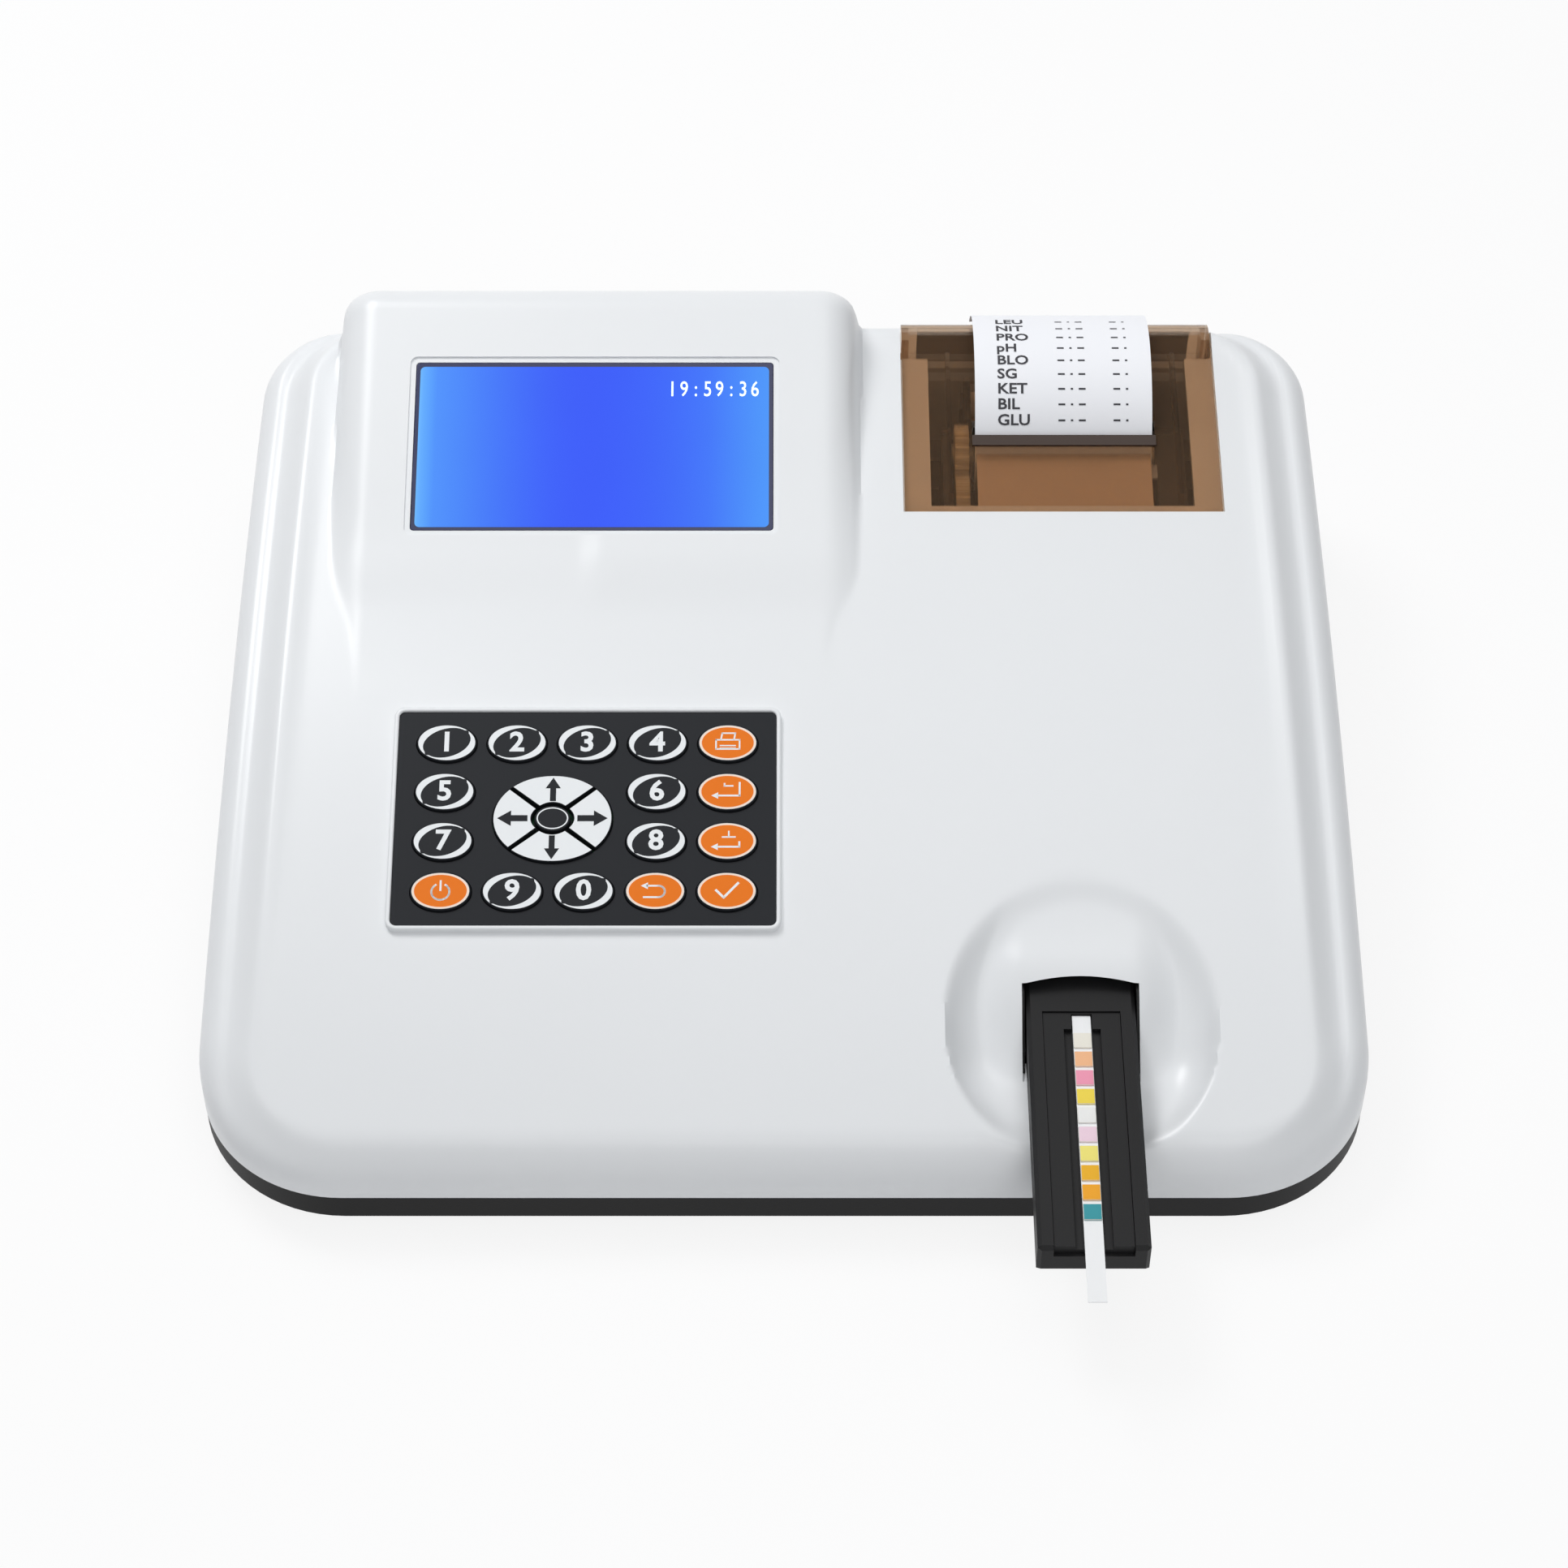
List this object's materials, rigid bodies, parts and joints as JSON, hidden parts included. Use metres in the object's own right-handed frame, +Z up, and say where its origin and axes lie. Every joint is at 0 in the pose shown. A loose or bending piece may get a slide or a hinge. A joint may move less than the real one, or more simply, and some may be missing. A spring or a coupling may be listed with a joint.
{
  "type": "bench-top urine strip analyzer",
  "caption": "Bench-top strip analyzer: sloping housing with a raised display, an oval-key keypad, a sliding strip tray in a scooped dish and a thermal printer under a smoky lid.",
  "frame": {"origin": "centre of the footprint on the table, under the rubber feet", "axes": "+X to the right seen from the keypad side, +Y to the rear, +Z up"},
  "size_m": [0.3498, 0.3634, 0.1044],
  "materials": {
    "base_black": "fine texture",
    "shell_white": "satin moulded",
    "foot_rubber": "soft",
    "screw_steel": "plated",
    "board_green": "solder mask",
    "window_clear": "clear, polished",
    "display_blue": "backlit panel",
    "panel_black": "glossy",
    "key_white": "glossy",
    "key_orange": "glossy",
    "key_dark": "glossy",
    "tray_black": "satin",
    "holder_black": "satin",
    "strip_white": "smooth",
    "reagent_tint": "absorbent",
    "gear_cream": "moulded",
    "gear_brass": "machined",
    "motor_steel": "zinc plated",
    "inner_grey": "moulded",
    "head_black": "moulded",
    "lid_smoke": "smoky, polished",
    "paper_white": "thermal paper",
    "core_card": "card",
    "printer_dark": "moulded",
    "platen_rubber": "ground",
    "head_metal": "plain",
    "socket_black": "moulded",
    "port_metal": "tin plated"
  },
  "bodies": {
    "housing": {"base_housing": "base_black", "top_shell": "shell_white", "rubber_feet": "foot_rubber", "housing_screws": "screw_steel", "main_board": "board_green", "board_screws": "screw_steel", "lcd_lens": "window_clear", "lcd_module": "display_blue", "keypad_panel": "panel_black", "keypad_board": "board_green", "stepper_motor": "motor_steel", "guide_bed": "inner_grey", "optical_head": "head_black", "home_sensor": "head_black", "paper_web": "paper_white", "roll_cradle": "printer_dark", "printer_frame": "printer_dark", "feed_motor": "motor_steel", "print_head": "head_metal", "dc_jack": "socket_black", "serial_port": "port_metal", "switch_frame": "socket_black"},
    "tray": {"strip_tray": "tray_black", "strip_holder": "holder_black", "test_strip": "strip_white", "reagent_pads": "reagent_tint"},
    "rack_gear": {"rack_gear": "gear_cream"},
    "motor_pinion": {"motor_pinion": "gear_brass"},
    "lid": {"printer_cover": "lid_smoke", "tear_bar": "screw_steel", "paper_tail": "paper_white"},
    "roll": {"paper_roll": "paper_white", "roll_core": "core_card"},
    "platen": {"platen_roller": "platen_rubber", "platen_gear": "gear_cream"},
    "feed_idler": {"feed_idler": "gear_cream"},
    "feed_pinion": {"feed_pinion": "gear_brass"},
    "rocker": {"power_rocker": "socket_black"},
    "key_1": {"key_1": "key_white"},
    "key_2": {"key_2": "key_white"},
    "key_3": {"key_3": "key_white"},
    "key_4": {"key_4": "key_white"},
    "key_print": {"key_print": "key_orange"},
    "key_5": {"key_5": "key_white"},
    "key_6": {"key_6": "key_white"},
    "key_enter": {"key_enter": "key_orange"},
    "key_7": {"key_7": "key_white"},
    "key_8": {"key_8": "key_white"},
    "key_feed": {"key_feed": "key_orange"},
    "key_power": {"key_power": "key_orange"},
    "key_9": {"key_9": "key_white"},
    "key_0": {"key_0": "key_white"},
    "key_back": {"key_back": "key_orange"},
    "key_confirm": {"key_confirm": "key_orange"},
    "nav_right": {"nav_right": "key_white"},
    "nav_up": {"nav_up": "key_white"},
    "nav_left": {"nav_left": "key_white"},
    "nav_down": {"nav_down": "key_white"},
    "nav_centre": {"nav_centre": "key_dark"}
  },
  "joints": [
    {"name": "tray_slide", "type": "slide", "parent": "housing", "child": "tray", "axis": [0, 1, 0], "range_m": [0, 0.078]},
    {"name": "rack_gear_spin", "type": "hinge", "parent": "housing", "child": "rack_gear", "pos_m": [0.0945, -0.0258, 0.02], "axis": [1, 0, 0], "range_deg": [-460, 12]},
    {"name": "motor_pinion_spin", "type": "hinge", "parent": "housing", "child": "motor_pinion", "pos_m": [0.0945, -0.01153, 0.01536], "axis": [1, 0, 0], "range_deg": [-24, 920]},
    {"name": "lid_hinge", "type": "hinge", "parent": "housing", "child": "lid", "pos_m": [0.089, 0.1682, 0.06798], "axis": [-1, 0, 0], "range_deg": [0, 75]},
    {"name": "roll_spin", "type": "hinge", "parent": "housing", "child": "roll", "pos_m": [0.09, 0.1512, 0.04703], "axis": [1, 0, 0], "continuous": true},
    {"name": "platen_spin", "type": "hinge", "parent": "housing", "child": "platen", "pos_m": [0.09, 0.1238, 0.06739], "axis": [1, 0, 0], "continuous": true},
    {"name": "feed_idler_spin", "type": "hinge", "parent": "housing", "child": "feed_idler", "pos_m": [0.0575, 0.10438, 0.05938], "axis": [1, 0, 0], "continuous": true},
    {"name": "feed_pinion_spin", "type": "hinge", "parent": "housing", "child": "feed_pinion", "pos_m": [0.0575, 0.09924, 0.04318], "axis": [1, 0, 0], "continuous": true},
    {"name": "rocker_tilt", "type": "hinge", "parent": "housing", "child": "rocker", "pos_m": [-0.13, 0.1742, 0.034], "axis": [1, 0, 0], "range_deg": [-8, 8]},
    {"name": "key_1_press", "type": "slide", "parent": "housing", "child": "key_1", "axis": [0, 0.2173, -0.9761], "range_m": [0, 0.0006], "stiffness_N_per_m": 200, "springref_m": -0.0002},
    {"name": "key_2_press", "type": "slide", "parent": "housing", "child": "key_2", "axis": [0, 0.2173, -0.9761], "range_m": [0, 0.0006], "stiffness_N_per_m": 200, "springref_m": -0.0002},
    {"name": "key_3_press", "type": "slide", "parent": "housing", "child": "key_3", "axis": [0, 0.2173, -0.9761], "range_m": [0, 0.0006], "stiffness_N_per_m": 200, "springref_m": -0.0002},
    {"name": "key_4_press", "type": "slide", "parent": "housing", "child": "key_4", "axis": [0, 0.2173, -0.9761], "range_m": [0, 0.0006], "stiffness_N_per_m": 200, "springref_m": -0.0002},
    {"name": "key_print_press", "type": "slide", "parent": "housing", "child": "key_print", "axis": [0, 0.2173, -0.9761], "range_m": [0, 0.0006], "stiffness_N_per_m": 200, "springref_m": -0.0002},
    {"name": "key_5_press", "type": "slide", "parent": "housing", "child": "key_5", "axis": [0, 0.2173, -0.9761], "range_m": [0, 0.0006], "stiffness_N_per_m": 200, "springref_m": -0.0002},
    {"name": "key_6_press", "type": "slide", "parent": "housing", "child": "key_6", "axis": [0, 0.2173, -0.9761], "range_m": [0, 0.0006], "stiffness_N_per_m": 200, "springref_m": -0.0002},
    {"name": "key_enter_press", "type": "slide", "parent": "housing", "child": "key_enter", "axis": [0, 0.2173, -0.9761], "range_m": [0, 0.0006], "stiffness_N_per_m": 200, "springref_m": -0.0002},
    {"name": "key_7_press", "type": "slide", "parent": "housing", "child": "key_7", "axis": [0, 0.2173, -0.9761], "range_m": [0, 0.0006], "stiffness_N_per_m": 200, "springref_m": -0.0002},
    {"name": "key_8_press", "type": "slide", "parent": "housing", "child": "key_8", "axis": [0, 0.2173, -0.9761], "range_m": [0, 0.0006], "stiffness_N_per_m": 200, "springref_m": -0.0002},
    {"name": "key_feed_press", "type": "slide", "parent": "housing", "child": "key_feed", "axis": [0, 0.2173, -0.9761], "range_m": [0, 0.0006], "stiffness_N_per_m": 200, "springref_m": -0.0002},
    {"name": "key_power_press", "type": "slide", "parent": "housing", "child": "key_power", "axis": [0, 0.2173, -0.9761], "range_m": [0, 0.0006], "stiffness_N_per_m": 200, "springref_m": -0.0002},
    {"name": "key_9_press", "type": "slide", "parent": "housing", "child": "key_9", "axis": [0, 0.2173, -0.9761], "range_m": [0, 0.0006], "stiffness_N_per_m": 200, "springref_m": -0.0002},
    {"name": "key_0_press", "type": "slide", "parent": "housing", "child": "key_0", "axis": [0, 0.2173, -0.9761], "range_m": [0, 0.0006], "stiffness_N_per_m": 200, "springref_m": -0.0002},
    {"name": "key_back_press", "type": "slide", "parent": "housing", "child": "key_back", "axis": [0, 0.2173, -0.9761], "range_m": [0, 0.0006], "stiffness_N_per_m": 200, "springref_m": -0.0002},
    {"name": "key_confirm_press", "type": "slide", "parent": "housing", "child": "key_confirm", "axis": [0, 0.2173, -0.9761], "range_m": [0, 0.0006], "stiffness_N_per_m": 200, "springref_m": -0.0002},
    {"name": "nav_right_press", "type": "slide", "parent": "housing", "child": "nav_right", "axis": [0, 0.2173, -0.9761], "range_m": [0, 0.0006], "stiffness_N_per_m": 200, "springref_m": -0.0002},
    {"name": "nav_up_press", "type": "slide", "parent": "housing", "child": "nav_up", "axis": [0, 0.2173, -0.9761], "range_m": [0, 0.0006], "stiffness_N_per_m": 200, "springref_m": -0.0002},
    {"name": "nav_left_press", "type": "slide", "parent": "housing", "child": "nav_left", "axis": [0, 0.2173, -0.9761], "range_m": [0, 0.0006], "stiffness_N_per_m": 200, "springref_m": -0.0002},
    {"name": "nav_down_press", "type": "slide", "parent": "housing", "child": "nav_down", "axis": [0, 0.2173, -0.9761], "range_m": [0, 0.0006], "stiffness_N_per_m": 200, "springref_m": -0.0002},
    {"name": "nav_centre_press", "type": "slide", "parent": "housing", "child": "nav_centre", "axis": [0, 0.2173, -0.9761], "range_m": [0, 0.0006], "stiffness_N_per_m": 200, "springref_m": -0.0002}
  ],
  "couplings": [
    {"joint": "rack_gear_spin", "follows": "tray_slide", "rad_per_m": -100},
    {"joint": "motor_pinion_spin", "follows": "tray_slide", "rad_per_m": 200},
    {"joint": "feed_idler_spin", "follows": "platen_spin", "ratio": -0.75},
    {"joint": "feed_pinion_spin", "follows": "platen_spin", "ratio": 1.8},
    {"joint": "roll_spin", "follows": "platen_spin", "ratio": 0.61875}
  ]
}
